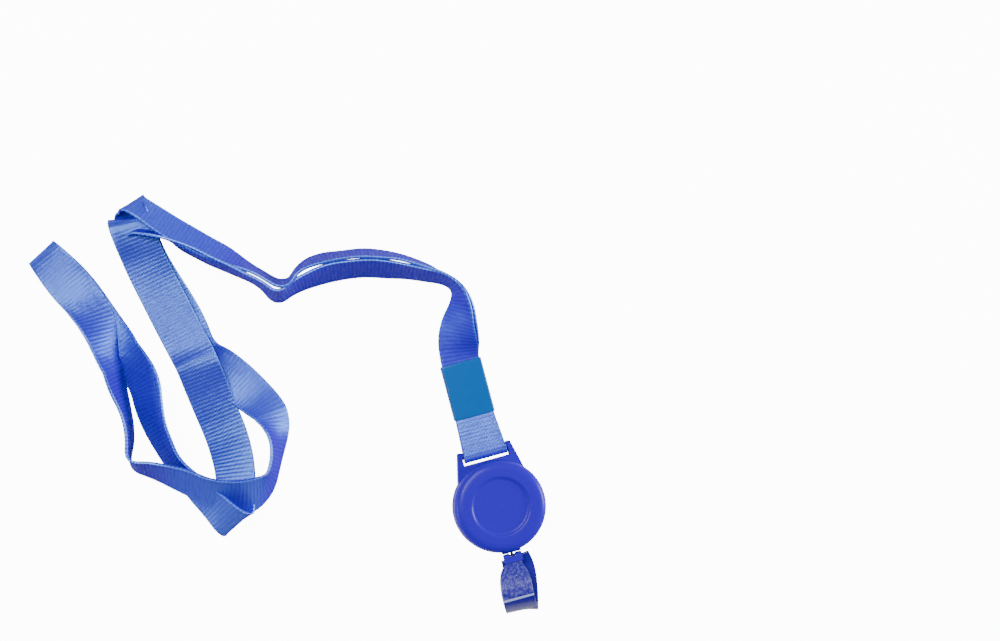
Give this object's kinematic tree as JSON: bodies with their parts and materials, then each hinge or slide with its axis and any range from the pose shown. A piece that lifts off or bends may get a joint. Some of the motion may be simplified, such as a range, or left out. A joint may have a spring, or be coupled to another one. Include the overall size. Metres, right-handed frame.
{
  "type": "lanyard badge holder",
  "caption": "Flat neck ribbon crimped to a round retracting badge reel with a pull cord and a small vinyl strap loop.",
  "frame": {"origin": "centre of the reel's back face", "axes": "+Y from the reel through the ribbon slot to the sleeve, +Z out of the reel's front cover, +X to the right seen from the front"},
  "size_m": [0.1503, 0.1726, 0.0181],
  "materials": {
    "blue_case": "gloss",
    "ribbon_weave": "satin",
    "sleeve_plastic": "gloss",
    "strap_vinyl": "gloss",
    "dark_clamp": "satin",
    "white_spool": "matte",
    "spring_steel": "brushed",
    "plated_steel": "polished",
    "cord_fibre": "satin"
  },
  "bodies": {
    "lanyard": {"lanyard_ribbon": "ribbon_weave", "ribbon_slot_loop": "ribbon_weave", "crimp_sleeve": "sleeve_plastic"},
    "reel": {"rear_cover": "blue_case", "front_cover": "blue_case", "centre_screw": "plated_steel", "power_spring": "spring_steel", "exit_eyelet": "blue_case", "cord_lead": "cord_fibre"},
    "spool": {"spool": "white_spool", "spring_cover": "white_spool", "wound_cord": "cord_fibre", "anchor_knot": "cord_fibre"},
    "cord_end": {"cord_stop": "dark_clamp"},
    "strap": {"strap_clamp": "blue_case", "pivot_pin": "plated_steel", "end_strap": "strap_vinyl"}
  },
  "joints": [
    {"name": "reel_swing", "type": "hinge", "parent": "lanyard", "child": "reel", "pos_m": [0, 0.0196, 0.003], "axis": [-1, 0, 0], "range_deg": [0, 80]},
    {"name": "cord_pull", "type": "slide", "parent": "reel", "child": "cord_end", "axis": [0, -1, 0], "range_m": [0, 0.6], "stiffness_N_per_m": 0.6, "springref_m": -0.8},
    {"name": "spool_spin", "type": "hinge", "parent": "reel", "child": "spool", "pos_m": [0, 0, 0.004], "axis": [0, 0, 1], "range_deg": [-3300, 0]},
    {"name": "strap_swing", "type": "hinge", "parent": "cord_end", "child": "strap", "pos_m": [0, -0.0178, 0.0044], "axis": [-1, 0, 0], "range_deg": [0, 60]}
  ],
  "couplings": [
    {"joint": "spool_spin", "follows": "cord_pull", "rad_per_m": -93.9}
  ]
}
